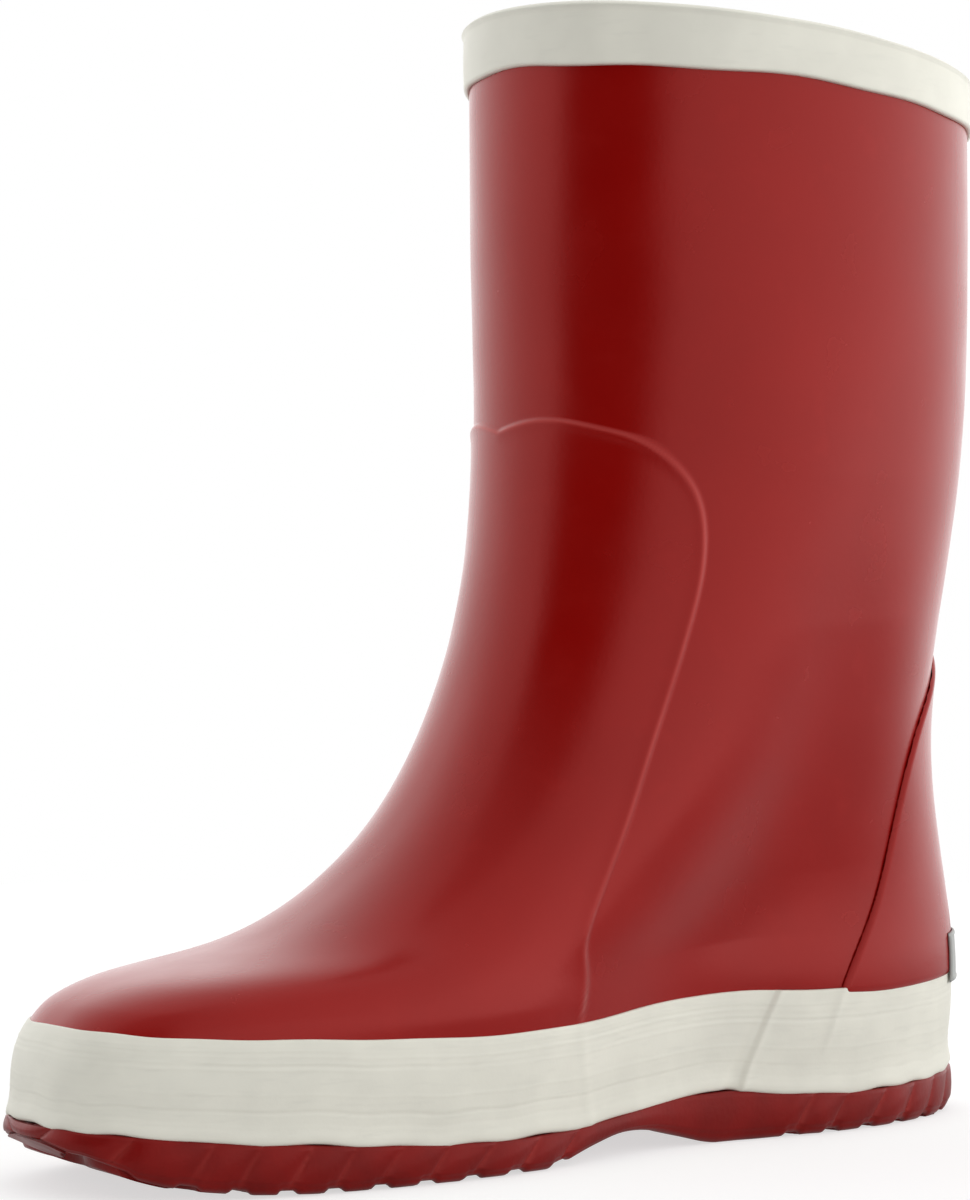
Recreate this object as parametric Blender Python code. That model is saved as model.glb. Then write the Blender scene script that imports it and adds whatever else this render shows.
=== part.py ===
"""A child's rain boot in natural rubber, right foot, about EU size 31.

Blender 4.5 script: blender --background --python part.py
Metres, +Z up, toe towards -Y, inner (big toe) side towards +X. The origin is on the ground,
in the middle of the boot's bounding box.

One smooth skin, skin(theta, rise), is the outside of the red rubber. Theta runs round a loop
of the boot: 0 at the toe or shin, 90 degrees on the inner side, 180 at the heel. Rise runs up the
boot: 0 where the wall meets the sole, 0.1 at the top of the white band, 1 at the rim.
Each layer lies at its own depth under that skin, as the sheets of a hand-laid boot do.
"""

import math

import bmesh
import bpy
import numpy as np
from mathutils import Matrix, Vector

MM = 0.001

# One row for each level of the boot: rise, front forward, front height, back forward, back height,
# half width, and how foot-shaped the loop is (1 a foot, 0 an oval). Forward is from the heel.
LEVELS = (
    (0.00, 215.5, 13.4, 1.0, 10.0, 35.3, 1.00),
    (0.10, 211.3, 30.4, 0.8, 31.2, 38.3, 1.00),
    (0.17, 197.7, 37.1, 1.7, 43.1, 37.0, 0.95),
    (0.27, 170.3, 42.2, 4.5, 58.7, 35.9, 0.80),
    (0.40, 136.1, 64.6, 7.6, 82.6, 36.8, 0.50),
    (0.52, 117.8, 98.8, 4.8, 107.5, 38.1, 0.25),
    (0.64, 112.0, 133.5, 0.4, 134.3, 40.4, 0.10),
    (0.80, 111.9, 174.3, -1.2, 172.9, 43.0, 0.00),
    (1.00, 112.0, 227.0, -0.3, 216.8, 44.2, 0.00),
)
SQUARENESS = 0.27  # how much boxier than an oval the toe and heel ends are
BALL_WIDENING = 0.07
WAIST_INNER, WAIST_OUTER = 0.29, 0.14  # how far the waist draws in, as shares of the width
WAIST_AT, WAIST_SPREAD = -0.23, 0.35  # along the foot, from -1 at the heel to 1 at the toe
TOE_SKEW = 1.0 * MM
SIDE_DROP = 5.4 * MM  # the wall's foot is lower at the ball than at toe and heel
ARCH_LIFT, ARCH_AT, ARCH_SPREAD = 4.2 * MM, -0.28, 0.28
LOW_PART = 0.35  # the rise by which those two have faded out

# Sheet thicknesses, and the gap that keeps neighbouring solids apart
GAP = 0.3 * MM
PATCH_GAP = 0.4 * MM
RUBBER = 1.6 * MM
BAND = 1.9 * MM
BAND_PROUD = 0.3 * MM
REINFORCEMENT = 0.8 * MM
TOE_PUFF = 0.9 * MM
STIFFENER = 1.0 * MM
COUNTER = 1.0 * MM
LINING = 0.8 * MM
TAPE = 0.5 * MM
BINDING = 0.9 * MM
LABEL = 1.0 * MM

BAND_TOP = 0.100
ABOVE_BAND = 0.125
SHEET_TOP = 0.990  # where the upper and the lining end, inside the rim binding
BINDING_FOOT, BINDING_FOOT_INSIDE = 0.955, 0.962
BINDING_SHOULDER, BINDING_HOLLOW = 0.9965, SHEET_TOP + 0.0013
PATCH_FOOT = 0.05  # lower edge of the sheets between upper and lining

# Half angles, in degrees, that each patch spans at each rise
VAMP_EDGE = ((0.0, 88), (0.165, 82), (0.29, 70), (0.44, 60), (0.55, 60), (0.62, 57), (0.685, 48))
TOE_EDGE = ((0.0, 58), (0.10, 54), (0.165, 44), (0.20, 36))
HEEL_EDGE = ((0.0, 66), (0.165, 58), (0.29, 45), (0.335, 36))
COUNTER_EDGE = (
    (0.10, 55.5), (0.20, 51), (0.335, 46.5), (0.385, 43), (0.415, 37), (0.44, 28), (0.465, 18),
    (0.49, 7),
)
LABEL_EDGE = ((0.0, 24.5), (0.2, 24.5))
LABEL_SPAN = (0.086, 0.144)
TAPE_EDGE = ((0.10, 9.0), (0.29, 12.0), (0.50, 10.0), (1.0, 9.0))
TAPE_SPAN = (BAND_TOP, 0.94)

# The stack under the foot: heights above the floor line, where the wall meets the sole
MARGIN_WIDTH = 12.0 * MM  # of the upper, turned in under the insole board
BOARD_FOOT, BOARD = 1.9 * MM, 1.5 * MM
LINING_FOOT = 3.7 * MM
FOAM_FOOT, FOAM = 4.9 * MM, 3.6 * MM
COVER_FOOT, COVER = 8.8 * MM, 0.8 * MM
FOOTBED_PLAY = 1.2 * MM

# The outsole
SOLE_FLANGE = 1.2 * MM  # beyond the wall
TREAD_DEPTH = 3.0 * MM
LUG_PITCH, GROOVE = 10.0 * MM, 3.4 * MM
WAVE, WAVE_LENGTH = 2.6 * MM, 26.0 * MM
FOREFOOT_TREAD = (119.0 * MM, 212.0 * MM)
HEEL_TREAD = (10.0 * MM, 62.0 * MM)
TOE_SPRING_FROM, TOE_SPRING = 168.0 * MM, 5.6 * MM
ARCH_SPAN, ARCH_RISE = (75.0 * MM, 122.0 * MM), 4.6 * MM
POCKET_INSET, POCKET_DEPTH, POCKET_FRONT = 11.0 * MM, 3.2 * MM, 58.0 * MM

COLUMNS = 36
RISES = np.array([
    0.0, 0.05, BAND_TOP, ABOVE_BAND, 0.165, 0.20, 0.245, 0.29, 0.335, 0.385, 0.415, 0.44, 0.465,
    0.49, 0.55, 0.62, 0.685, 0.78, 0.88, SHEET_TOP,
])
WALL_RISE = 0.19  # height of the wall from rise 0 to 1, as it is near the sole

RED = (0.42, 0.022, 0.018, 1.0)
OFF_WHITE = (0.72, 0.70, 0.62, 1.0)
COTTON = (0.62, 0.57, 0.47, 1.0)
CANVAS = (0.50, 0.44, 0.33, 1.0)
FIBREBOARD = (0.45, 0.33, 0.20, 1.0)
SPONGE = (0.10, 0.09, 0.085, 1.0)
FOAM_WHITE = (0.75, 0.74, 0.70, 1.0)


# --- The skin -----------------------------------------------------------------------------------


def natural_spline(knots, values, at):
    """The smooth curve through the knots, with no bend at its two ends."""
    knots, values = np.asarray(knots, float), np.asarray(values, float)
    step = np.diff(knots)
    slope = np.diff(values) / step
    count = len(knots)
    system, right = np.eye(count), np.zeros(count)
    for i in range(1, count - 1):
        system[i, i - 1 : i + 2] = step[i - 1], 2 * (step[i - 1] + step[i]), step[i]
        right[i] = 6 * (slope[i] - slope[i - 1])
    bend = np.linalg.solve(system, right)
    i = np.clip(np.searchsorted(knots, at) - 1, 0, count - 2)
    a, b = (knots[i + 1] - at) / step[i], (at - knots[i]) / step[i]
    cubic = ((a**3 - a) * bend[i] + (b**3 - b) * bend[i + 1]) * step[i] ** 2 / 6
    return a * values[i] + b * values[i + 1] + cubic


def level(rise):
    """front forward, front height, back forward, back height, half width, footness at a rise."""
    table = np.array(LEVELS)
    front, front_up, back, back_up, half = (
        natural_spline(table[:, 0], table[:, i], rise) * MM for i in range(1, 6)
    )
    return front, front_up, back, back_up, half, np.interp(rise, table[:, 0], table[:, 6])


def skin(theta, rise):
    """Points of the boot's outside, for arrays of angle and rise."""
    theta, rise = np.broadcast_arrays(np.asarray(theta, float), np.asarray(rise, float))
    front, front_up, back, back_up, half, footness = level(rise)
    along, across = np.cos(theta), np.sin(theta)
    waist = np.where(across > 0, WAIST_INNER, WAIST_OUTER)
    waist = waist * np.exp(-(((along - WAIST_AT) / WAIST_SPREAD) ** 2))
    width = half * (1 + footness * (BALL_WIDENING * along - waist))
    side = np.sign(across) * np.abs(across) ** (1 - SQUARENESS * footness) * width
    side = side + TOE_SKEW * footness * np.clip(along, 0, 1) ** 3
    forward = (front + back) / 2 + (front - back) / 2 * along
    low = np.clip(1 - rise / LOW_PART, 0, 1)
    arch = ARCH_LIFT * np.exp(-(((along - ARCH_AT) / ARCH_SPREAD) ** 2))
    up = (front_up + back_up) / 2 + (front_up - back_up) / 2 * along
    up = up + low * (arch - SIDE_DROP * (1 - along**2))
    return np.stack([side, -forward, up], -1)


def under_skin(theta, rise, depth):
    """Points at a depth under the skin, straight in from it."""
    theta, rise = np.broadcast_arrays(np.asarray(theta, float), np.asarray(rise, float))
    turn, climb = 0.01, 0.004
    round_it = skin(theta + turn, rise) - skin(theta - turn, rise)
    up_it = skin(theta, rise + climb) - skin(theta, rise - climb)
    out = np.cross(round_it, up_it)
    out /= np.linalg.norm(out, axis=-1, keepdims=True)
    return skin(theta, rise) - out * np.broadcast_to(depth, theta.shape)[..., None]


def plan(theta, inset, height=0.0):
    """The outline inside the wall at a height over the floor line, x and y only."""
    return under_skin(theta, height / WALL_RISE, inset)[..., :2]


def floor_height(y):
    """Height of the line where the wall meets the sole, at a place along the boot."""
    front, front_up, back, back_up, _, _ = level(np.array(0.0))
    along = np.clip((-y - (front + back) / 2) / ((front - back) / 2), -1, 1)
    arch = ARCH_LIFT * np.exp(-(((along - ARCH_AT) / ARCH_SPREAD) ** 2))
    straight = (front_up + back_up) / 2 + (front_up - back_up) / 2 * along
    return straight + arch - SIDE_DROP * (1 - along**2)


def angles():
    """Angles of the columns round a loop, closer together at the toe and the heel."""
    even = np.arange(COLUMNS) * 2 * math.pi / COLUMNS
    return even - 0.25 * np.sin(2 * even)


# --- Depths of the layers -----------------------------------------------------------------------


def edge_angle(table, rise):
    """Half angle of a patch, in radians, and 0 past its last rise."""
    rises, degrees = zip(*table)
    return np.radians(np.interp(rise, rises, degrees, right=0.0))


def covered(table, from_front, rise, margin=math.radians(30), margin_up=0.06):
    """1 where a patch lies, fading to 0 over a margin round it."""
    widest = np.maximum.reduce(
        [edge_angle(table, np.maximum(rise - up, 0)) for up in (0, margin_up / 2, margin_up)]
    )
    reach = np.where(widest > 0, widest + margin, 0)
    return np.clip((reach - from_front) / (margin / 2), 0, 1)


def upper_outside(rise):
    """The upper runs under the white band, and steps out to the skin above it."""
    return np.interp(rise, (BAND_TOP, ABOVE_BAND), (BAND - BAND_PROUD + GAP, 0.0))


def from_toe(theta):
    """Angle away from the toe side, 0 to pi."""
    return np.abs((np.asarray(theta) + math.pi) % (2 * math.pi) - math.pi)


def under_upper(rise):
    return upper_outside(rise) + RUBBER + GAP


def under_reinforcement(rise):
    return under_upper(rise) + REINFORCEMENT + GAP


def lining_outside(theta, rise):
    """The lining goes deeper where there are sheets between it and the upper."""
    toe, heel = from_toe(theta), math.pi - from_toe(theta)
    depth = under_upper(rise)
    depth = depth + covered(VAMP_EDGE, toe, rise) * (REINFORCEMENT + GAP)
    depth = depth + covered(TOE_EDGE, toe, rise) * (TOE_PUFF + PATCH_GAP)
    return depth + covered(HEEL_EDGE, heel, rise) * (STIFFENER + PATCH_GAP)


# --- Meshes -------------------------------------------------------------------------------------


def material(name, colour, roughness):
    made = bpy.data.materials.get(name) or bpy.data.materials.new(name)
    made.use_nodes = True
    shader = made.node_tree.nodes["Principled BSDF"]
    shader.inputs["Base Color"].default_value = colour
    shader.inputs["Roughness"].default_value = roughness
    return made


def object_of(name, points, faces, finish, smooth=True):
    """A mesh object with its doubled points merged and its faces pointing out."""
    mesh = bpy.data.meshes.new(name)
    mesh.from_pydata([tuple(map(float, p)) for p in points], [], faces)
    shape = bmesh.new()
    shape.from_mesh(mesh)
    bmesh.ops.remove_doubles(shape, verts=shape.verts, dist=1e-6)
    bmesh.ops.recalc_face_normals(shape, faces=shape.faces)
    shape.to_mesh(mesh)
    shape.free()
    if smooth:
        mesh.shade_smooth()
        mesh.set_sharp_from_angle(angle=math.radians(40))
    mesh.materials.append(material(*finish))
    made = bpy.data.objects.new(name, mesh)
    bpy.context.scene.collection.objects.link(made)
    return made


def sheet(name, outside, inside, closed, finish):
    """A solid between two matching grids of points, each rows x columns x 3.

    closed says that the columns run right round. Rows whose points all meet on a line close the
    sheet there.
    """
    rows, columns = outside.shape[:2]
    count = rows * columns
    points = np.concatenate([outside.reshape(-1, 3), inside.reshape(-1, 3)])
    wrap = columns if closed else columns - 1
    faces = []
    for i in range(rows - 1):
        for j in range(wrap):
            k = (j + 1) % columns
            quad = (i * columns + j, i * columns + k, (i + 1) * columns + k, (i + 1) * columns + j)
            faces.append(quad)
            faces.append(tuple(count + quad[corner] for corner in (0, 3, 2, 1)))
    for i in (0, rows - 1):
        if closed and np.allclose(outside[i, 1:], outside[i, :0:-1], atol=1e-7):
            continue  # this row has folded onto the centre line
        for j in range(wrap):
            a, b = i * columns + j, i * columns + (j + 1) % columns
            faces.append((b, a, count + a, count + b) if i == 0 else (a, b, count + b, count + a))
    if not closed:
        for i in range(rows - 1):
            for j in (0, columns - 1):
                a, b = i * columns + j, (i + 1) * columns + j
                faces.append((a, b, count + b, count + a) if j == 0 else (b, a, count + a, count + b))
    return object_of(name, points, faces, finish)


def patch(name, table, middle, span, outside, thickness, finish):
    """A sheet over part of the boot, centred on an angle, over a span of rises.

    Its rows and columns are the boot's own, with the columns drawn in to the patch's edge, so
    that its facets lie along those of the sheets next to it.
    """
    columns = np.sort((angles() + math.pi) % (2 * math.pi) - math.pi)
    inside_span = RISES[(RISES > span[0]) & (RISES < span[1])]
    rises = np.array([span[0], *inside_span, span[1]])[:, None]
    edge = edge_angle(table, rises)
    drawn_in = np.clip(columns, -edge, edge)

    def drawn(depth):
        full = under_skin(middle + columns, rises, depth)
        row = [
            [np.interp(at, columns, line[:, axis]) for axis in range(3)]
            for at, line in zip(drawn_in, full)
        ]
        return np.array(row).transpose(0, 2, 1)

    depth = outside(rises)
    return sheet(name, drawn(depth), drawn(depth + thickness), False, finish)


def sole_loops(inset, shares, height=0.0):
    """Loops inside the wall, x and y only: share 0 is the centre line, 1 the outline."""
    outline = plan(angles(), inset, height)
    middle = (outline + outline[-np.arange(COLUMNS)]) / 2
    return np.array([middle + share * (outline - middle) for share in shares])


def at_height(loops, height_at):
    """The loops with a height added, given as a function of y."""
    return np.concatenate([loops, height_at(loops[..., 1])[..., None]], -1)


def plate_points(inset, shares, height):
    """Loops of a plate that follows the sole, at a height above the floor line."""
    return at_height(sole_loops(inset, shares, height), lambda y: floor_height(y) + height)


def plate(name, inset, foot, thickness, finish):
    """A flat sheet under the foot. Foot is its height above the floor line."""
    shares = (0.0, 0.5, 1.0)
    low = plate_points(inset, shares, foot)
    high = plate_points(inset, shares, foot + thickness)
    return sheet(name, low, high, True, finish)


# --- The boot's pieces --------------------------------------------------------------------------

RED_RUBBER = ("red_rubber", RED, 0.38)
WHITE_RUBBER = ("white_rubber", OFF_WHITE, 0.5)


def make_upper():
    """The red leg and foot, with its lower edge turned in under the insole board."""
    theta, rises = angles()[None, :], RISES[1:, None]
    foot = upper_outside(0.0)
    inner_edge = foot + MARGIN_WIDTH
    outside = [plate_points(inset, (1.0,), 0.0) for inset in (inner_edge, foot)]
    outside.append(under_skin(theta, rises, upper_outside(rises)))
    inside = [plate_points(inset, (1.0,), RUBBER) for inset in (inner_edge, foot + RUBBER)]
    inside.append(under_skin(theta, rises, upper_outside(rises) + RUBBER))
    return sheet("upper", np.concatenate(outside), np.concatenate(inside), True, RED_RUBBER)


def make_lining():
    """A knitted sock: a wall that follows the upper, and a sole under the footbed."""
    theta = angles()[None, :]
    rises = RISES[1:, None]
    depth = lining_outside(theta, rises)
    outside = under_skin(theta, rises, depth)
    inside = under_skin(theta, rises, depth + LINING)
    inset = lining_outside(angles(), PATCH_FOOT)
    shares = (0.0, 0.5, 1.0)
    under = plate_points(inset, shares, LINING_FOOT)
    over = plate_points(inset + LINING, shares, LINING_FOOT + LINING)
    return sheet(
        "lining_sock",
        np.concatenate([under, outside]),
        np.concatenate([over, inside]),
        True,
        ("cotton_jersey", COTTON, 0.95),
    )


def make_sheets_inside():
    """What lies between the upper and the lining."""
    canvas = ("rubberised_canvas", CANVAS, 0.9)
    for name, table, middle, outside, thickness in (
        ("vamp_reinforcement", VAMP_EDGE, 0.0, under_upper, REINFORCEMENT),
        ("toe_puff", TOE_EDGE, 0.0, under_reinforcement, TOE_PUFF),
        ("heel_stiffener", HEEL_EDGE, math.pi, under_upper, STIFFENER),
    ):
        patch(name, table, middle, (PATCH_FOOT, table[-1][0]), outside, thickness, canvas)


def make_tape():
    """The cotton tape over the lining's back seam, inside the boot."""
    patch(
        "lining_back_tape",
        TAPE_EDGE,
        math.pi,
        TAPE_SPAN,
        lambda rise: lining_outside(math.pi, rise) + LINING + PATCH_GAP,
        TAPE,
        ("cotton_tape", COTTON, 0.95),
    )


def make_counter_and_label():
    """The red heel patch laid over the upper, and the blank label on it."""
    patch(
        "heel_counter",
        COUNTER_EDGE,
        math.pi,
        (ABOVE_BAND, COUNTER_EDGE[-1][0]),
        lambda rise: -PATCH_GAP - COUNTER + 0 * rise,
        COUNTER,
        RED_RUBBER,
    )
    patch(
        "heel_label",
        LABEL_EDGE,
        math.pi,
        LABEL_SPAN,
        lambda rise: -(2 * PATCH_GAP + COUNTER + LABEL) + 0 * rise,
        LABEL,
        ("label_rubber", OFF_WHITE, 0.5),
    )


def make_band():
    """The off-white strip round the foot."""
    theta = angles()[None, :]
    rises = np.array([0.002, 0.05, BAND_TOP])[:, None]
    sheet(
        "foxing_band",
        under_skin(theta, rises, -BAND_PROUD),
        under_skin(theta, rises, BAND - BAND_PROUD),
        True,
        WHITE_RUBBER,
    )


def make_binding():
    """The off-white tape folded over the top edge: a U-shaped ring."""
    theta = angles()[None, :]
    inside = lining_outside(theta, SHEET_TOP) + LINING + GAP
    rounded = 0.3 * BINDING
    outer = (
        (BINDING_FOOT, -GAP - BINDING),
        (BINDING_SHOULDER, -GAP - BINDING),
        (1.0, -GAP - rounded),
        (1.0, inside + rounded),
        (BINDING_SHOULDER, inside + BINDING),
        (BINDING_FOOT_INSIDE, inside + BINDING),
    )
    inner = (
        (BINDING_FOOT, -GAP),
        (BINDING_HOLLOW, -GAP),
        (BINDING_HOLLOW, -GAP),
        (BINDING_HOLLOW, inside),
        (BINDING_HOLLOW, inside),
        (BINDING_FOOT_INSIDE, inside),
    )
    outer, inner = (
        np.array([under_skin(theta, rise, depth)[0] for rise, depth in corners])
        for corners in (outer, inner)
    )
    sheet("rim_binding", outer, inner, True, WHITE_RUBBER)


def make_footbed():
    """The loose insole: foam with a cotton top. It hinges at the lower edge of its toe."""
    inset = lining_outside(angles(), PATCH_FOOT) + LINING + FOOTBED_PLAY
    toe = plate_points(inset, (1.0,), FOAM_FOOT)[0, 0]
    for made in (
        plate("footbed_foam", inset, FOAM_FOOT, FOAM, ("white_foam", FOAM_WHITE, 0.9)),
        plate("footbed_cover", inset, COVER_FOOT, COVER, ("cotton_cover", COTTON, 0.95)),
    ):
        made.data.transform(Matrix.Translation(-Vector(toe)))
        made.location = toe


def make_under_foot():
    """The insole board, and the sponge that fills the hollow inside the turned-in margin."""
    wall = upper_outside(0.0) + RUBBER
    plate("insole_board", wall + PATCH_GAP, BOARD_FOOT, BOARD, ("fibreboard", FIBREBOARD, 0.85))
    margin = upper_outside(0.0) + MARGIN_WIDTH + PATCH_GAP
    plate("midsole_sponge", margin, 0.1 * MM, 1.4 * MM, ("sponge_rubber", SPONGE, 0.9))


def sole_bottom(y):
    """Height of the outsole's walking face: flat at ball and heel, raised at arch and toe."""
    forward = -np.asarray(y, float)
    spring = np.clip((forward - TOE_SPRING_FROM) / (215 * MM - TOE_SPRING_FROM), 0, 1)
    arch = np.clip((forward - ARCH_SPAN[0]) / (ARCH_SPAN[1] - ARCH_SPAN[0]), 0, 1)
    heel = np.clip(1 - forward / (14 * MM), 0, 1.2)
    return TOE_SPRING * spring**2 + ARCH_RISE * np.sin(math.pi * arch) ** 1.5 + 2.5 * MM * heel**2


def groove_cutter(index, forward):
    """One wavy groove across the sole, as a strip that passes both edges."""
    steps = 11
    across = np.linspace(-52 * MM, 52 * MM, steps + 1)
    wave = WAVE * np.cos(2 * math.pi * across / WAVE_LENGTH)
    top = float(sole_bottom(-forward)) + TREAD_DEPTH
    points, faces = [], []
    for x, shift in zip(across, wave):
        for edge in (-GROOVE / 2, GROOVE / 2):
            for z in (-5 * MM, top):
                points.append((x, -forward + shift + edge, z))
    for i in range(steps):
        a = 4 * i
        for p, q in ((0, 1), (1, 3), (3, 2), (2, 0)):
            faces.append((a + p, a + q, a + 4 + q, a + 4 + p))
    faces.append((0, 2, 3, 1))
    last = 4 * steps
    faces.append((last, last + 1, last + 3, last + 2))
    return object_of(f"groove_{index}", points, faces, RED_RUBBER, smooth=False)


def cut(target, cutters):
    for cutter in cutters:
        cutter.hide_render = True
        cutter.display_type = "WIRE"
        step = target.modifiers.new(cutter.name, "BOOLEAN")
        step.operation = "DIFFERENCE"
        step.object = cutter


def make_outsole():
    """The red sole: one moulding with wavy grooves, and a pocket in the heel for the wedge."""
    loops = sole_loops(-SOLE_FLANGE, (0.0, 0.5, 0.93, 1.0))
    top = at_height(loops, lambda y: floor_height(y) - GAP)
    sole = sheet("outsole", at_height(loops, sole_bottom), top, True, RED_RUBBER)
    places = [*np.arange(*FOREFOOT_TREAD, LUG_PITCH), *np.arange(*HEEL_TREAD, LUG_PITCH)]
    cut(sole, [groove_cutter(i, forward) for i, forward in enumerate(places)])
    pocket = heel_block("heel_pocket", POCKET_INSET, POCKET_FRONT, -POCKET_DEPTH, 5 * MM)
    cut(sole, [pocket])
    heel_block(
        "heel_wedge",
        POCKET_INSET + PATCH_GAP,
        POCKET_FRONT - PATCH_GAP,
        PATCH_GAP - POCKET_DEPTH,
        -3 * PATCH_GAP,
    )


def heel_block(name, inset, front, foot, top):
    """A block in the heel end of the sole, up to a straight front edge, between two heights
    over the floor line."""
    theta = np.linspace(0.52, 0.98, 24) * math.pi
    inner, outer = plan(theta, inset), plan(-theta, inset)
    shares = np.array([0.0, 0.06, 0.2, 0.45, 0.7, 1.0])
    y = inner[-1, 1] + (-front - inner[-1, 1]) * shares
    left = np.interp(y, inner[:, 1], inner[:, 0])
    right = np.interp(y, outer[:, 1], outer[:, 0])
    low, high = (
        np.stack([np.stack([x, y, floor_height(y) + up], -1) for x in (left, right)], 1)
        for up in (foot, top)
    )
    return sheet(name, low, high, False, ("sponge_rubber", SPONGE, 0.9))


def stand_on_origin():
    """Moves the boot so that the origin is on the ground, under the middle of its box."""
    shown = [o for o in bpy.context.scene.objects if not o.hide_render]
    corners = np.array([(v.co + o.location)[:] for o in shown for v in o.data.vertices])
    low, high = corners.min(0), corners.max(0)
    shift = Vector((-(low[0] + high[0]) / 2, -(low[1] + high[1]) / 2, 0.0))
    for made in bpy.context.scene.objects:
        made.location += shift


def main():
    for old in list(bpy.data.objects):
        bpy.data.objects.remove(old)
    make_upper()
    make_lining()
    make_sheets_inside()
    make_tape()
    make_counter_and_label()
    make_band()
    make_binding()
    make_footbed()
    make_under_foot()
    make_outsole()
    stand_on_origin()


main()
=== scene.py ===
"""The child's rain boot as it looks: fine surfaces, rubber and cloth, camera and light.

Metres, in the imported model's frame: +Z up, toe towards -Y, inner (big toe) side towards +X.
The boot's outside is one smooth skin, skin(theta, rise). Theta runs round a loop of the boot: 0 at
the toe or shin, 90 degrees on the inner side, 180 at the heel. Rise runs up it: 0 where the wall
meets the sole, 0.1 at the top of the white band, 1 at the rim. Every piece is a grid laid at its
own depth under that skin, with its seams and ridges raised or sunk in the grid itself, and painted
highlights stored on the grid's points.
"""

import math

import bpy
import numpy as np
from mathutils.kdtree import KDTree
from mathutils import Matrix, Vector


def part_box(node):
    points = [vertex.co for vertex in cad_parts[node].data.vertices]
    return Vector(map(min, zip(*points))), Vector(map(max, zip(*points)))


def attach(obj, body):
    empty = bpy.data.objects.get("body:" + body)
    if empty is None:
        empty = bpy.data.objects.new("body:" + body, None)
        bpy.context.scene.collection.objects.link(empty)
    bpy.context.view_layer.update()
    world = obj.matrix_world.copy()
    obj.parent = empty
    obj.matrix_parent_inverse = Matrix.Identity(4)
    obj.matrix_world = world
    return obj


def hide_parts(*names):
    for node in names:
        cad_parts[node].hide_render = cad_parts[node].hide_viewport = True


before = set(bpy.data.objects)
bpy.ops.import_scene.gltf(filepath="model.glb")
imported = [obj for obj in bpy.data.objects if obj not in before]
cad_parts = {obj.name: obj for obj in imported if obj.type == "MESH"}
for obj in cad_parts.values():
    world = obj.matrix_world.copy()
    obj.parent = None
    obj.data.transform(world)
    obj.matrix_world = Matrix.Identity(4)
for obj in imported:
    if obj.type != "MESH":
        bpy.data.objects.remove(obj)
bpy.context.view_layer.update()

MM = 0.001
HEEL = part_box("outsole")[1].y - 0.2 * MM  # where forward distances start, at the back of the heel

# One row for each level of the boot: rise, front forward, front height, back forward, back height,
# half width, and how foot-shaped the loop is (1 a foot, 0 an oval). Forward is from the heel.
LEVELS = (
    (0.00, 215.5, 13.4, 1.0, 10.0, 35.3, 1.00),
    (0.10, 211.3, 30.4, 0.8, 31.2, 38.3, 1.00),
    (0.17, 197.7, 37.1, 1.7, 43.1, 37.0, 0.95),
    (0.27, 170.3, 42.2, 4.5, 58.7, 35.9, 0.80),
    (0.40, 136.1, 64.6, 7.6, 82.6, 36.8, 0.50),
    (0.52, 117.8, 98.8, 4.8, 107.5, 38.1, 0.25),
    (0.64, 112.0, 133.5, 0.4, 134.3, 40.4, 0.10),
    (0.80, 111.9, 174.3, -1.2, 172.9, 43.0, 0.00),
    (1.00, 112.0, 227.0, -0.3, 216.8, 44.2, 0.00),
)
SQUARENESS = 0.27
BALL_WIDENING = 0.07
WAIST_INNER, WAIST_OUTER = 0.29, 0.14
WAIST_AT, WAIST_SPREAD = -0.23, 0.35
TOE_SKEW = 1.0 * MM
SIDE_DROP = 5.4 * MM
ARCH_LIFT, ARCH_AT, ARCH_SPREAD = 4.2 * MM, -0.28, 0.28
LOW_PART = 0.35
WALL_RISE = 0.19  # height of the wall from rise 0 to 1, as it is near the sole

# Thicknesses, and the gap between a piece and its neighbour
RUBBER, BAND, LINING = 1.6 * MM, 1.9 * MM, 0.8 * MM
GAP = 0.3 * MM
BAND_TOP, BAND_HEIGHT = 0.100, 19 * MM
SHEET_TOP = 0.990

# Lines drawn on the skin: angle from the toe in degrees, and rise
VAMP_LINE = (
    (0, 0.675), (16, 0.682), (31, 0.675), (43, 0.664), (51.5, 0.645), (57.5, 0.615), (59.8, 0.57),
    (59.3, 0.52), (59, 0.46), (61, 0.405), (65.5, 0.34), (71, 0.275), (77.5, 0.21), (82.5, 0.155),
    (85, 0.10), (87, 0.05), (88.5, 0.0),
)
COUNTER_LINE = (
    (121, 0.0), (123.5, 0.07), (125.3, 0.12), (128.8, 0.20), (131.2, 0.29), (133.6, 0.35),
    (137.5, 0.40), (145, 0.437), (157, 0.468), (168, 0.488), (180, 0.495),
)
LAP_ANGLE = 112.6  # of the band's joint, on the inner side


# --- The skin -----------------------------------------------------------------------------------


def natural_spline(knots, values, at):
    """The smooth curve through the knots, with no bend at its two ends."""
    knots, values = np.asarray(knots, float), np.asarray(values, float)
    step = np.diff(knots)
    slope = np.diff(values) / step
    count = len(knots)
    system, right = np.eye(count), np.zeros(count)
    for i in range(1, count - 1):
        system[i, i - 1 : i + 2] = step[i - 1], 2 * (step[i - 1] + step[i]), step[i]
        right[i] = 6 * (slope[i] - slope[i - 1])
    bend = np.linalg.solve(system, right)
    i = np.clip(np.searchsorted(knots, at) - 1, 0, count - 2)
    a, b = (knots[i + 1] - at) / step[i], (at - knots[i]) / step[i]
    cubic = ((a**3 - a) * bend[i] + (b**3 - b) * bend[i + 1]) * step[i] ** 2 / 6
    return a * values[i] + b * values[i + 1] + cubic


def level(rise):
    """front forward, front height, back forward, back height, half width, footness at a rise."""
    table = np.array(LEVELS)
    front, front_up, back, back_up, half = (
        natural_spline(table[:, 0], table[:, i], rise) * MM for i in range(1, 6)
    )
    return front, front_up, back, back_up, half, np.interp(rise, table[:, 0], table[:, 6])


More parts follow.
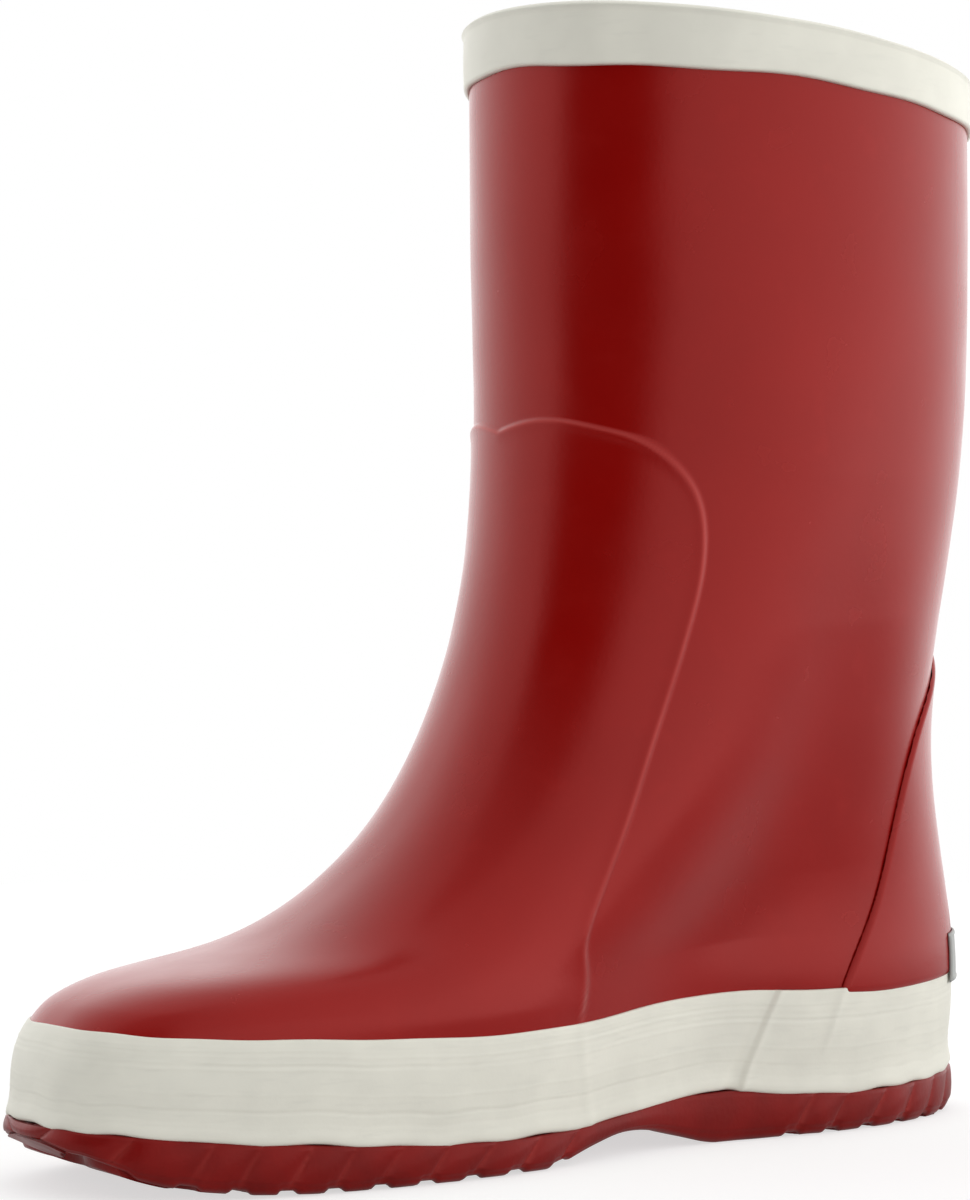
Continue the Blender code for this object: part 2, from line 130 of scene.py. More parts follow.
def skin(theta, rise):
    """Points of the boot's outside, for arrays of angle and rise."""
    front, front_up, back, back_up, half, footness = level(np.asarray(rise, float))
    along, across = np.cos(theta), np.sin(theta)
    waist = np.where(across > 0, WAIST_INNER, WAIST_OUTER)
    waist = waist * np.exp(-(((along - WAIST_AT) / WAIST_SPREAD) ** 2))
    width = half * (1 + footness * (BALL_WIDENING * along - waist))
    side = np.sign(across) * np.abs(across) ** (1 - SQUARENESS * footness) * width
    side = side + TOE_SKEW * footness * np.clip(along, 0, 1) ** 3
    forward = (front + back) / 2 + (front - back) / 2 * along
    low = np.clip(1 - rise / LOW_PART, 0, 1)
    arch = ARCH_LIFT * np.exp(-(((along - ARCH_AT) / ARCH_SPREAD) ** 2))
    up = (front_up + back_up) / 2 + (front_up - back_up) / 2 * along
    up = up + low * (arch - SIDE_DROP * (1 - along**2))
    return np.stack(np.broadcast_arrays(side, HEEL - forward, up), -1)


def under_skin(theta, rise, depth):
    """Points at a depth under the skin, straight in from it."""
    theta, rise = np.asarray(theta, float), np.asarray(rise, float)
    turn, climb = 0.01, 0.004
    round_it = skin(theta + turn, rise) - skin(theta - turn, rise)
    up_it = skin(theta, rise + climb) - skin(theta, rise - climb)
    out = np.cross(round_it, up_it)
    out /= np.linalg.norm(out, axis=-1, keepdims=True)
    return skin(theta, rise) - out * np.broadcast_to(depth, out.shape[:-1])[..., None]


def plan(theta, inset, height=0.0):
    """The outline inside the wall at a height over the floor line, x and y only."""
    return under_skin(theta, height / WALL_RISE, inset)[..., :2]


def floor_height(y):
    """Height of the line where the wall meets the sole, at a place along the boot."""
    front, front_up, back, back_up, _, _ = level(np.array(0.0))
    along = np.clip((HEEL - y - (front + back) / 2) / ((front - back) / 2), -1, 1)
    arch = ARCH_LIFT * np.exp(-(((along - ARCH_AT) / ARCH_SPREAD) ** 2))
    straight = (front_up + back_up) / 2 + (front_up - back_up) / 2 * along
    return straight + arch - SIDE_DROP * (1 - along**2)


def from_toe(theta):
    """Angle away from the toe side, 0 to pi."""
    return np.abs((np.asarray(theta) + math.pi) % (2 * math.pi) - math.pi)


# --- Helpers for relief -------------------------------------------------------------------------


def smooth(value, low, high):
    """0 below low, 1 above high, and an S-curve between."""
    t = np.clip((value - low) / (high - low), 0, 1)
    return t * t * (3 - 2 * t)


def ripples(points, length, seed):
    """Gentle random waves of about one size, between about -1 and 1."""
    rng = np.random.default_rng(seed)
    total = 0.0
    waves = 11
    for _ in range(waves):
        way = rng.normal(size=3)
        way *= 2 * math.pi / (length * rng.uniform(0.7, 1.5) * np.linalg.norm(way))
        total = total + np.sin(points @ way + rng.uniform(0, 2 * math.pi))
    return total * math.sqrt(2 / waves) / 2


def line_on_skin(line, count=1600):
    """A smooth line through (degrees, rise) points, as angles and rises."""
    knots = np.arange(len(line))
    at = np.linspace(0, len(line) - 1, count)
    degrees, rises = (natural_spline(knots, column, at) for column in np.array(line, float).T)
    return np.radians(degrees), rises


def inside_distance(grid, theta, rise, line, toe_side):
    """Distance of each grid point from a line drawn on both sides of the boot, positive within
    the patch that the line goes round."""
    angle, rises = line_on_skin(line)
    both = np.concatenate([skin(angle, rises), skin(-angle, rises)])
    tree = KDTree(len(both))
    for i, point in enumerate(both):
        tree.insert(point, i)
    tree.balance()
    far = np.array([tree.find(point)[2] for point in grid.reshape(-1, 3)])
    far = far.reshape(grid.shape[:-1])
    away = from_toe(theta)
    if toe_side:
        widest = int(np.argmax(np.diff(angle) < 0))
        over = rise < np.interp(away, angle[: widest + 1], rises[: widest + 1])
        beside = away < np.interp(rise, rises[widest:][::-1], angle[widest:][::-1])
        inside = np.where(rise > rises[widest], over, beside)
    else:
        inside = (away > np.interp(rise, rises, angle)) & (rise < rises.max())
    return np.where(inside, far, -far)


def spaced(start, end, count, focus=()):
    """Numbers from start to end, closer together round each (place, spread, weight)."""
    even = np.linspace(start, end, 4000)
    density = np.ones_like(even)
    for place, spread, weight in focus:
        density += weight * np.exp(-(((even - place) / spread) ** 2))
    total = np.concatenate([[0], np.cumsum((density[1:] + density[:-1]) / 2)])
    return np.interp(np.linspace(0, total[-1], count), total, even)


def round_angles(count, focus=()):
    """Angles once round a loop, without the last."""
    return spaced(-math.pi, math.pi, count + 1, focus)[:-1]


# --- Meshes -------------------------------------------------------------------------------------


def piece(
    name, grid, material, body, nodes, closed_columns=True, closed_rows=True, painted_highlight=None
):
    """A mesh from a grid of points, rows x columns x 3, that rides on a body and replaces nodes.
    painted_highlight is how much paler its material is painted at each point, a painted highlight
    where light would catch it."""
    rows, columns = grid.shape[:2]
    i = np.arange(rows if closed_rows else rows - 1)[:, None]
    j = np.arange(columns if closed_columns else columns - 1)[None, :]
    i_next, j_next = (i + 1) % rows, (j + 1) % columns
    corners = (i * columns + j, i * columns + j_next, i_next * columns + j_next, i_next * columns + j)
    quads = np.stack([c.ravel() for c in corners], -1)
    points = grid.reshape(-1, 3)
    _, first, index = np.unique(
        np.round(points / 2e-6).astype(np.int64), axis=0, return_index=True, return_inverse=True
    )
    quads = index.reshape(-1)[quads]
    points = points[first]
    a, b, c, d = (points[quads[:, k]] for k in range(4))
    volume = np.einsum("ij,ij->", a, np.cross(b, c) + np.cross(c, d))
    if volume < 0:
        quads = quads[:, ::-1]
    faces = []
    for quad in quads.tolist():
        face = list(dict.fromkeys(quad))
        if len(face) > 2:
            faces.append(face)
    mesh = bpy.data.meshes.new(name)
    mesh.from_pydata(points.tolist(), [], faces)
    mesh.shade_smooth()
    mesh.materials.append(material)
    # the painted highlight, stored on the points for the material
    if painted_highlight is not None:
        stored = mesh.attributes.new("painted_highlight", "FLOAT", "POINT")
        stored.data.foreach_set("value", painted_highlight.reshape(-1)[first].astype(np.float32))
    made = bpy.data.objects.new(name, mesh)
    bpy.context.scene.collection.objects.link(made)
    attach(made, body)
    if nodes:
        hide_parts(*nodes)
    return made


def both_sides(outside, inside):
    """One ring of rows from an outer and an inner grid."""
    return np.concatenate([outside, inside[::-1]])


# --- Materials ----------------------------------------------------------------------------------


class Finish:
    """A Principled material with its pattern nodes."""

    def __init__(self, name, colour, roughness):
        self.material = bpy.data.materials.new(name)
        self.material.use_nodes = True
        self.tree = self.material.node_tree
        self.shader = self.tree.nodes["Principled BSDF"]
        self.shader.inputs["Base Color"].default_value = (*colour, 1)
        self.shader.inputs["Roughness"].default_value = roughness
        self.place = self.tree.nodes.new("ShaderNodeTexCoord").outputs["Object"]
        self.colour = colour
        self.normal = None

    def set(self, **sockets):
        for name, value in sockets.items():
            self.shader.inputs[name.replace("_", " ")].default_value = value
        return self

    def noise(self, size, detail=3.0, stretch=(1, 1, 1)):
        """Noise from 0 to 1 whose grains are about that size, longer along a stretched axis."""
        scale = self.tree.nodes.new("ShaderNodeMapping")
        scale.inputs["Scale"].default_value = [1 / s for s in stretch]
        self.tree.links.new(self.place, scale.inputs["Vector"])
        made = self.tree.nodes.new("ShaderNodeTexNoise")
        made.inputs["Scale"].default_value = 1 / size
        made.inputs["Detail"].default_value = detail
        self.tree.links.new(scale.outputs["Vector"], made.inputs["Vector"])
        return made.outputs["Fac"]

    def spread(self, value, low, high, to_low, to_high):
        """The value mapped from one range to another, and clamped there."""
        made = self.tree.nodes.new("ShaderNodeMapRange")
        for socket, number in zip(made.inputs[1:5], (low, high, to_low, to_high)):
            socket.default_value = number
        self.tree.links.new(value, made.inputs[0])
        return made.outputs["Result"]

    def stored(self, name):
        """A value stored on the mesh's points; 0 on a mesh without it."""
        made = self.tree.nodes.new("ShaderNodeAttribute")
        made.attribute_name = name
        return made.outputs["Fac"]

    def mottle(self, value, other, low=0.4, high=0.6, most=1.0):
        """Blends the base colour towards another where the value is high."""
        mix = self.tree.nodes.new("ShaderNodeMix")
        mix.data_type = "RGBA"
        before = self.shader.inputs["Base Color"].links
        if before:
            self.tree.links.new(before[0].from_socket, mix.inputs["A"])
        else:
            mix.inputs["A"].default_value = (*self.colour, 1)
        mix.inputs["B"].default_value = (*other, 1)
        self.tree.links.new(self.spread(value, low, high, 0, most), mix.inputs["Factor"])
        self.tree.links.new(mix.outputs["Result"], self.shader.inputs["Base Color"])
        return self

    def rough(self, value, low, high):
        self.tree.links.new(self.spread(value, 0.3, 0.7, low, high), self.shader.inputs["Roughness"])
        return self

    def bump(self, value, height, strength=1.0):
        made = self.tree.nodes.new("ShaderNodeBump")
        made.inputs["Distance"].default_value = height
        made.inputs["Strength"].default_value = strength
        self.tree.links.new(value, made.inputs["Height"])
        if self.normal:
            self.tree.links.new(self.normal, made.inputs["Normal"])
        self.normal = made.outputs["Normal"]
        self.tree.links.new(self.normal, self.shader.inputs["Normal"])
        return self

    def wave(self, size, axis, distortion=0.0):
        made = self.tree.nodes.new("ShaderNodeTexWave")
        made.bands_direction = axis
        made.inputs["Scale"].default_value = math.pi / 10 / size
        made.inputs["Distortion"].default_value = distortion
        self.tree.links.new(self.place, made.inputs["Vector"])
        return made.outputs["Fac"]


def red_rubber():
    made = Finish("red_rubber", (0.292, 0.0034, 0.0022), 0.24)
    made.set(Specular_IOR_Level=0.95, Specular_Tint=(1, 0.28, 0.26, 1))
    made.mottle(made.noise(30 * MM), (0.268, 0.0028, 0.0018), 0.35, 0.65)
    made.mottle(made.noise(7 * MM, 6), (0.32, 0.0065, 0.0048), 0.58, 0.78, 0.4)
    # painted highlight: paler red where the stored painted highlight is high, along the
    # reinforcement's raised edge
    made.mottle(made.stored("painted_highlight"), (0.50, 0.060, 0.052), 0.0, 1.0)
    made.rough(made.noise(14 * MM, 5), 0.22, 0.28)
    made.bump(made.noise(1.1 * MM, 4), 0.02 * MM)
    return made.material


def sole_rubber():
    made = Finish("sole_rubber", (0.215, 0.0050, 0.0042), 0.34)
    made.set(Specular_IOR_Level=0.55, Specular_Tint=(1, 0.3, 0.28, 1))
    made.mottle(made.noise(9 * MM), (0.165, 0.0040, 0.0034), 0.35, 0.65)
    # painted highlight: paler sole red where the stored painted highlight is high, along the side's
    # creases
    made.mottle(made.stored("painted_highlight"), (0.36, 0.036, 0.030), 0.0, 1.0)
    made.rough(made.noise(7 * MM, 5), 0.28, 0.42)
    made.bump(made.noise(0.9 * MM, 4), 0.05 * MM)
    return made.material


def white_rubber(name="white_rubber", colour=(0.90, 0.885, 0.78)):
    made = Finish(name, colour, 0.5)
    made.mottle(made.noise(14 * MM), tuple(0.93 * c for c in colour), 0.35, 0.65)
    made.mottle(made.noise(1.4 * MM, 5, (6, 6, 1)), tuple(0.88 * c for c in colour), 0.55, 0.8, 0.6)
    made.rough(made.noise(9 * MM, 5), 0.44, 0.58)
    made.bump(made.noise(0.8 * MM, 4), 0.02 * MM)
    return made.material


def cloth(name, colour, rib, height):
    """Knitted or woven cotton: fine ribs both ways, and fluff."""
    made = Finish(name, colour, 0.95).set(Sheen_Weight=0.25)
    made.mottle(made.noise(8 * MM), tuple(0.86 * c for c in colour), 0.35, 0.65)
    made.mottle(made.noise(0.8 * MM, 4), tuple(0.75 * c for c in colour), 0.5, 0.75, 0.7)
    made.bump(made.wave(rib, "Z", 1.5), height)
    made.bump(made.wave(rib, "Y", 1.5), height)
    made.bump(made.noise(0.5 * MM, 4), height)
    return made.material


def plain(name, colour, roughness, grain):
    made = Finish(name, colour, roughness)
    made.mottle(made.noise(grain * 4), tuple(0.8 * c for c in colour), 0.35, 0.65)
    made.bump(made.noise(grain, 4), grain / 6)
    return made.material


RED = red_rubber()
SOLE = sole_rubber()
WHITE = white_rubber()
COTTON = (0.56, 0.50, 0.40)
JERSEY = cloth("cotton_jersey", COTTON, 0.9 * MM, 0.12 * MM)
WEAVE = cloth("cotton_weave", (0.50, 0.45, 0.37), 0.6 * MM, 0.10 * MM)


# --- The boot's pieces --------------------------------------------------------------------------


def upper_relief(grid, rise, within):
    """How far the red rubber stands out from the skin: the reinforcement's raised edge, and the
    slight unevenness of rubber laid up by hand."""
    raised = 0.50 * MM * smooth(within, -0.8 * MM, 0.6 * MM)
    width = np.where(within < 0.1 * MM, 0.55 * MM, 1.7 * MM)
    bead = 0.24 * MM * np.exp(-(((within - 0.1 * MM) / width) ** 2))
    uneven = 0.10 * MM * ripples(grid, 55 * MM, 3) + 0.04 * MM * ripples(grid, 21 * MM, 4)
    return (raised + bead + uneven) * smooth(rise, 0.09, 0.13) * (1 - smooth(rise, 0.93, 0.96))


def make_upper():
    """The red leg and foot, tucked behind the band and turned in under the board."""
    sides = [(s * math.radians(at), 0.12, 2.0) for s in (-1, 1) for at in (60, 76)]
    theta = round_angles(520, sides)[None, :]
    focus = [(0.680, 0.008, 8.0), (0.65, 0.03, 1.5), (0.095, 0.008, 2.0)]
    rise = spaced(0.012, SHEET_TOP, 320, focus)[:, None]
    grid = skin(theta, rise)
    tucked = BAND * (1 - smooth(rise, 0.088, 0.098))
    within = inside_distance(grid, theta, rise, VAMP_LINE, True)
    outside = under_skin(theta, rise, tucked - upper_relief(grid, rise, within))
    inside = under_skin(theta, rise, tucked + RUBBER)
    # painted highlight: a pale line along the reinforcement's raised edge, where light catches it,
    # its strength varied at random
    highlight_strength = 0.75 + 0.25 * ripples(grid, 24 * MM, 17)
    painted_highlight = 0.62 * highlight_strength * np.exp(-(((within - 0.1 * MM) / (0.5 * MM)) ** 2))
    margin = []
    for inset, height in ((BAND + 12 * MM, 0.2), (BAND + 2 * MM, 0.2)):
        outline = plan(theta[0], inset)
        margin.append([*outline.T, floor_height(outline[:, 1]) + height * MM])
    margin_in = [np.array([*m[:2], m[2] + RUBBER - 0.4 * MM]).T for m in margin]
    margin_out = [np.array(m).T for m in margin]
    outside = np.concatenate([margin_out, outside])
    inside = np.concatenate([margin_in, inside])
    grid = both_sides(outside, inside)
    no_highlight_rows = np.zeros((2, theta.size))
    painted_highlight = np.concatenate([no_highlight_rows, painted_highlight, np.zeros_like(painted_highlight), no_highlight_rows])
    piece("upper", grid, RED, "boot", ["upper"], painted_highlight=np.clip(painted_highlight, 0, 1))


def heel_patch_grid(line, rises, columns):
    """Angles and rises over the patch at the heel that a line goes round, rows x columns."""
    angle, line_rises = line_on_skin(line)
    order = np.argsort(line_rises)
    edge = np.interp(rises, line_rises[order], angle[order])[:, None]
    share = np.linspace(-1, 1, columns)[None, :]
    return math.pi + share * (math.pi - edge), rises[:, None] + 0 * share


def make_counter():
    """The red patch on the heel, its edge skived thin."""
    rises = spaced(0.094, 0.4948, 150, [(0.49, 0.02, 4.0)])
    theta, rise = heel_patch_grid(COUNTER_LINE, rises, 170)
    grid = skin(theta, rise)
    within = inside_distance(grid, theta, rise, COUNTER_LINE, False)
    within = np.minimum(np.abs(within), 20 * MM)
    edge = np.sqrt(np.clip(1 - (1 - np.clip(within / (0.9 * MM), 0, 1)) ** 2, 0, 1))
    sunk = 1.3 * MM * (1 - smooth(rise, 0.088, 0.100))
    uneven = 0.05 * MM * ripples(grid, 30 * MM, 8)
    out = 0.05 * MM + 1.0 * MM * edge + uneven * edge - sunk
    thin = np.minimum(out, 0.05 * MM - sunk)
    grid = both_sides(under_skin(theta, rise, -out), under_skin(theta, rise, -thin))
    piece("heel_counter", grid, RED, "boot", ["heel_counter"], closed_columns=False)


def make_label():
    """A small blank rubber label across the back of the heel, over the band's top edge."""
    half, half_width = math.radians(24.5), 18 * MM
    low, high = 0.086, 0.144
    base, thick = 1.2 * MM, 0.6 * MM
    rises = spaced(low, high, 40)[:, None]
    share = np.linspace(-1, 1, 90)[None, :]
    theta = math.pi + half * share
    to_side = (1 - np.abs(share)) * half_width
    to_end = np.minimum(rises - low, high - rises) * WALL_RISE
    corner = 1.6 * MM
    inner = np.hypot(np.clip(corner - to_side, 0, None), np.clip(corner - to_end, 0, None))
    within = np.clip(corner - inner, 0, None)
    edge = np.sqrt(np.clip(1 - (1 - np.clip(within / (0.6 * MM), 0, 1)) ** 2, 0, 1))
    border = 0.18 * MM * smooth(within, 0.9 * MM, 1.2 * MM)
    out = base + thick * edge - border
    outside = under_skin(theta, rises, -out)
    inside = under_skin(theta, rises, -base + 0 * theta)
    finish = white_rubber("label_rubber", (0.46, 0.47, 0.45))
    grid = both_sides(outside, inside)
    piece("heel_label", grid, finish, "boot", ["heel_label"], closed_columns=False)


def ribs(theta, share):
    """The fine lines that the extruder leaves along the band. Share runs up its face, 0 to 1."""
    rng = np.random.default_rng(12)
    drift = 0.012 * np.sin(3 * theta + 1) + 0.008 * np.sin(7 * theta)
    total = 0.0
    for _ in range(30):
        at, wide, deep = rng.uniform(0.08, 0.95), rng.uniform(0.007, 0.014), rng.normal()
        turns, phase = rng.integers(1, 7), rng.uniform(0, 6.3)
        fade = 0.55 + 0.45 * np.sin(turns * theta + phase)
        total = total + deep * fade * np.exp(-(((share + drift - at) / wide) ** 2))
    return 0.07 * MM * total


def make_band():
    """The off-white strip round the foot, with its lapped joint on the inner side."""
    lap = math.radians(LAP_ANGLE)
    theta = round_angles(1000, [(lap, 0.05, 6.0)])[None, :]
    share = spaced(0, 1, 78, [(0, 0.03, 2.0), (1, 0.03, 2.0)])[:, None]
    wavy = 0.0012 * np.sin(31 * theta + 2 * np.sin(5 * theta)) + 0.0012 * np.sin(13 * theta + 2)
    top_wavy = 0.0008 * np.sin(9 * theta) + 0.0005 * np.sin(23 * theta + 1)
    low, high = wavy - 0.002, BAND_TOP + 0.001 + top_wavy
    rise = low + (high - low) * share
    grid = skin(theta, rise)
    vamp = inside_distance(grid, theta, rise, VAMP_LINE, True)
    counter = inside_distance(grid, theta, rise, COUNTER_LINE, False)
    through = 0.22 * MM * np.exp(-((vamp / (1.3 * MM)) ** 2))
    step = 0.22 * smooth(counter, -1.0 * MM, 0.6 * MM) + 0.24 * np.exp(-((counter / MM) ** 2))
    through = through + step * MM * smooth(share, 0.25, 0.6)
    # the lap: its free end lies over the start, slants, and is pressed down at the foot
    slant = (theta - lap) * 60 * MM - (share - 0.5) * 4.4 * MM
    over = smooth(slant, -0.5 * MM, 0.4 * MM) * (1 - smooth(slant, 5 * MM, 20 * MM))
    over = over + 0.5 * np.exp(-(((slant - 0.4 * MM) / (0.6 * MM)) ** 2))
    dent = np.exp(-(((slant + 1.3 * MM) / (1.1 * MM)) ** 2))
    pinch = dent * np.exp(-((share / 0.28) ** 2))
    relief = 0.38 * MM * over - 0.16 * MM * dent - 0.5 * MM * pinch
    lip = 0.35 * MM * np.exp(-(((share - 0.06) / 0.07) ** 2))
    flare = 0.5 * MM * (1 - smooth(share, 0.0, 0.3))
    swell = 0.05 * MM * ripples(grid, 16 * MM, 5)
    face = 0.45 * MM + ribs(theta, share) + through + relief + lip + flare + swell
    at_foot, at_top = share * BAND_HEIGHT / (0.9 * MM), (1 - share) * BAND_HEIGHT / (0.5 * MM)
    rounding = np.minimum(at_foot, at_top)
    edge = np.sqrt(np.clip(1 - (1 - np.clip(rounding, 0, 1)) ** 2, 0, 1))
    out = face - (1 - edge) * np.where(share > 0.5, 0.55, 0.9) * MM
    outside = under_skin(theta, rise, -out)
    behind = np.interp(share, (0, 0.84, 0.93, 1), (1.6, 1.6, -0.02, -0.02)) * MM
    behind = np.maximum(behind, -out + 0.05 * MM)
    inside = under_skin(theta, rise, behind + 0 * theta)
    grid = both_sides(outside, inside[::6])
    piece("foxing_band", grid, WHITE, "boot", ["foxing_band"])


def make_binding():
    """The off-white tape folded over the top edge, thickened and rounded."""
    foot, inner_foot, shoulder = 0.9535, 0.9615, 0.9945
    theta = round_angles(420)[None, :]
    sway = 0.0012 * np.sin(5 * theta + 1) + 0.0008 * np.sin(11 * theta)
    inner_face = lining_depth(theta, SHEET_TOP) + LINING + GAP
    rows = []
    for share in np.linspace(0, 1, 26):
        rise = foot + sway + (shoulder - foot - sway) * share
        edge = math.sqrt(1 - (1 - min(share * 12 / 0.7, 1)) ** 2)
        bulge = 0.12 * MM * math.sin(math.pi * share)
        rows.append(under_skin(theta, rise, -(0.1 * MM + 1.05 * MM * edge + bulge))[0])
    middle = (inner_face - 1.15 * MM) / 2
    reach = (inner_face + 2.2 * MM) / 2 + 0.1 * MM
    for turn in np.linspace(0.12, 0.88, 12) * math.pi:
        depth = middle - reach * np.cos(turn)
        rows.append(under_skin(theta, shoulder + 0.0068 * math.sin(turn), depth)[0])
    for share in np.linspace(1, 0, 20):
        rise = inner_foot + (shoulder - inner_foot) * share
        edge = math.sqrt(1 - (1 - min(share * 8 / 0.7, 1)) ** 2)
        rows.append(under_skin(theta, rise, inner_face + 0.1 * MM + 0.95 * MM * edge)[0])
    for rise, depth in ((0.9625, inner_face), (0.992, inner_face), (0.992, 0.0), (0.956, 0.0)):
        rows.append(under_skin(theta, rise, depth)[0])
    grid = np.array(rows)
    grid += 0.06 * MM * ripples(grid, 30 * MM, 9)[..., None] * np.array([1, 1, 1.5])
    piece("rim_binding", grid, WHITE, "boot", ["rim_binding"])


def reach_of(half_degrees, top, away, rise):
    """1 where an inner sheet lies, with soft edges: half angle at the foot, and top rise."""
    half = math.radians(half_degrees) * (1 - 0.45 * np.clip(rise / top, 0, 1))
    return smooth(half + 0.30 - away, 0.0, 0.15) * (1 - smooth(rise, top + 0.01, top + 0.05))


def lining_depth(theta, rise):
    """The lining lies deeper where there are sheets between it and the upper."""
    toe, heel = from_toe(theta), math.pi - from_toe(theta)
    rise = np.asarray(rise, float)
    depth = BAND * (1 - smooth(rise, 0.095, 0.13)) + RUBBER + GAP
    vamp = np.radians(np.interp(rise, (0, 0.165, 0.42, 0.62, 0.685), (88, 82, 60, 57, 48)))
    vamp = smooth(vamp + 0.5 - toe, 0, 0.2) * (1 - smooth(rise, 0.70, 0.75))
    depth = depth + 1.1 * MM * vamp
    depth = depth + 1.3 * MM * reach_of(58, 0.20, toe, rise)
    return depth + 1.4 * MM * reach_of(66, 0.335, heel, rise)


def sole_loops(theta, inset, shares, height=0.0):
    """Loops inside the wall, x and y only: share 0 is the centre line, 1 the outline. The angles
    are symmetrical about the toe."""
    outline = plan(theta, inset, height)
    middle = (outline + outline[-np.arange(len(theta))]) / 2
    shares = np.asarray(shares)[:, None, None]
    return middle + shares * (outline - middle)


def make_lining():
    """The knitted lining: a wall, and a sole under the footbed."""
    theta = np.arange(300) * 2 * math.pi / 300
    rise = spaced(0.045, SHEET_TOP, 170, [(0.1, 0.03, 1.0)])[:, None]
    depth = lining_depth(theta[None, :], rise)
    uneven = 0.08 * MM * ripples(skin(theta[None, :], rise), 18 * MM, 21)
    outside = under_skin(theta[None, :], rise, depth)
    inside = under_skin(theta[None, :], rise, depth + LINING + uneven * smooth(rise, 0.1, 0.2))
    foot = lining_depth(theta, 0.045)
    shares = np.linspace(0, 1, 14)
    under = sole_loops(theta, foot, shares, 3.7 * MM)
    over = sole_loops(theta, foot + LINING, shares, 4.5 * MM)
    under = np.concatenate([under, floor_height(under[..., 1])[..., None] + 3.7 * MM], -1)
    over = np.concatenate([over, floor_height(over[..., 1])[..., None] + 4.5 * MM], -1)
    outside, inside = np.concatenate([under, outside]), np.concatenate([over, inside])
    grid = both_sides(outside, inside)
    piece("lining_sock", grid, JERSEY, "boot", ["lining_sock"], closed_rows=False)


def make_tape():
    """The cotton tape over the lining's back seam, with a row of stitches down each side."""
    low, high = 0.10, 0.945
    rises = spaced(low, high, 420)[:, None]
    share = np.linspace(-1, 1, 41)[None, :]
    half = level(rises)[4]
    theta = math.pi + share * 6.2 * MM / half
    depth = lining_depth(theta, rises) + LINING
    edge = np.sqrt(np.clip(1 - np.clip(1 - (1 - np.abs(share)) * 6 / 0.4, 0, 1) ** 2, 0, 1))
    ends = np.minimum(rises - low, high - rises) * WALL_RISE / (0.4 * MM)
    edge = edge * np.sqrt(np.clip(1 - np.clip(1 - ends, 0, 1) ** 2, 0, 1))
    stitch_line = np.exp(-(((np.abs(share) - 0.76) / 0.06) ** 2))
    stitches = 0.5 + 0.5 * np.cos(2 * math.pi * rises / 0.0125)
    relief = 0.16 * MM * stitch_line * (stitches * 1.6 - 0.8)
    top = depth + 0.15 * MM + (0.5 * MM + relief) * edge
    grid = both_sides(under_skin(theta, rises, top), under_skin(theta, rises, depth + 0.1 * MM))
    piece(
        "lining_back_tape", grid, WEAVE, "boot", ["lining_back_tape"],
        closed_columns=False,
    )


def footbed_layer(name, material, foot, thick, round_low, round_high):
    """A layer of the loose insole, with rounded edges."""
    theta = np.arange(360) * 2 * math.pi / 360
    inset = lining_depth(theta, 0.05) + LINING + 1.2 * MM
    rows = []
    for share in np.linspace(0, 0.97, 22):
        rows.append((share, 0.0, 0.0))
    for turn in np.linspace(0, math.pi / 2, 6):
        rows.append((1.0, -(1 - math.sin(turn)) * round_low, (1 - math.cos(turn)) * round_low))
    for turn in np.linspace(0, math.pi / 2, 6):
        up = thick - round_high * (1 - math.sin(turn))
        rows.append((1.0, -round_high * (1 - math.cos(turn)), up))
    for share in np.linspace(0.97, 0, 22):
        rows.append((share, 0.0, thick))
    loops = []
    for share, out, up in rows:
        loop = sole_loops(theta, inset - out, (share,), foot)[0]
        height = floor_height(loop[:, 1]) + foot + up
        if up >= thick - 1e-9:
            height = height + 0.12 * MM * ripples(np.column_stack([loop, height]), 14 * MM, 30)
        loops.append(np.column_stack([loop, height]))
    return piece(name, np.array(loops), material, "footbed", [name], closed_rows=False)


def make_footbed():
    foam = plain("white_foam", (0.66, 0.65, 0.61), 0.85, 0.5 * MM)
    made = footbed_layer(
        "footbed_foam", foam, 4.9 * MM, 3.6 * MM, 1.0 * MM, 0.5 * MM
    )
    footbed_layer(
        "footbed_cover", WEAVE, 8.7 * MM, 0.9 * MM, 0.2 * MM, 0.6 * MM
    )


# --- The outsole --------------------------------------------------------------------------------

TREAD_DEPTH = 3.0 * MM
LUG_PITCH, GROOVE = 10.0 * MM, 3.4 * MM
WAVE, WAVE_LENGTH = 2.6 * MM, 26.0 * MM
FOREFOOT_TREAD = (119.0 * MM, 212.0 * MM)
HEEL_TREAD = (10.0 * MM, 62.0 * MM)
TOE_SPRING_FROM, TOE_SPRING_TO, TOE_SPRING = 168.0 * MM, 215.0 * MM, 5.6 * MM
HEEL_ROUNDING_TO, HEEL_ROUNDING = 14.0 * MM, 2.5 * MM
ARCH_SPAN, ARCH_RISE = (75.0 * MM, 122.0 * MM), 4.6 * MM
SOLE_FLANGE = 1.2 * MM
SIDE_SLANT = 5.0 * MM  # how far a crease leans towards the heel, from its foot to its top
TOE_CREASES = (5 * MM, 21 * MM, 38 * MM)  # round the edge from the toe, on both sides
TOE_LUMPS_FROM, TOE_LUMPS_FULL = 190.0 * MM, 200.0 * MM
TOE_ROUNDING_FROM, TOE_ROUNDING = 196.0 * MM, 4.5 * MM
SOLE_FRONT = 217.0 * MM


def sole_bottom(y):
    """Height of the outsole's walking face: flat at ball and heel, raised at arch and toe."""
    forward = HEEL - y
    spring = np.clip((forward - TOE_SPRING_FROM) / (TOE_SPRING_TO - TOE_SPRING_FROM), 0, 1.05)
    arch = np.clip((forward - ARCH_SPAN[0]) / (ARCH_SPAN[1] - ARCH_SPAN[0]), 0, 1)
    heel = np.clip(1 - forward / HEEL_ROUNDING_TO, 0, 1.2)
    raised = TOE_SPRING * spring**2 + ARCH_RISE * np.sin(math.pi * arch) ** 1.5
    return raised + HEEL_ROUNDING * heel**2


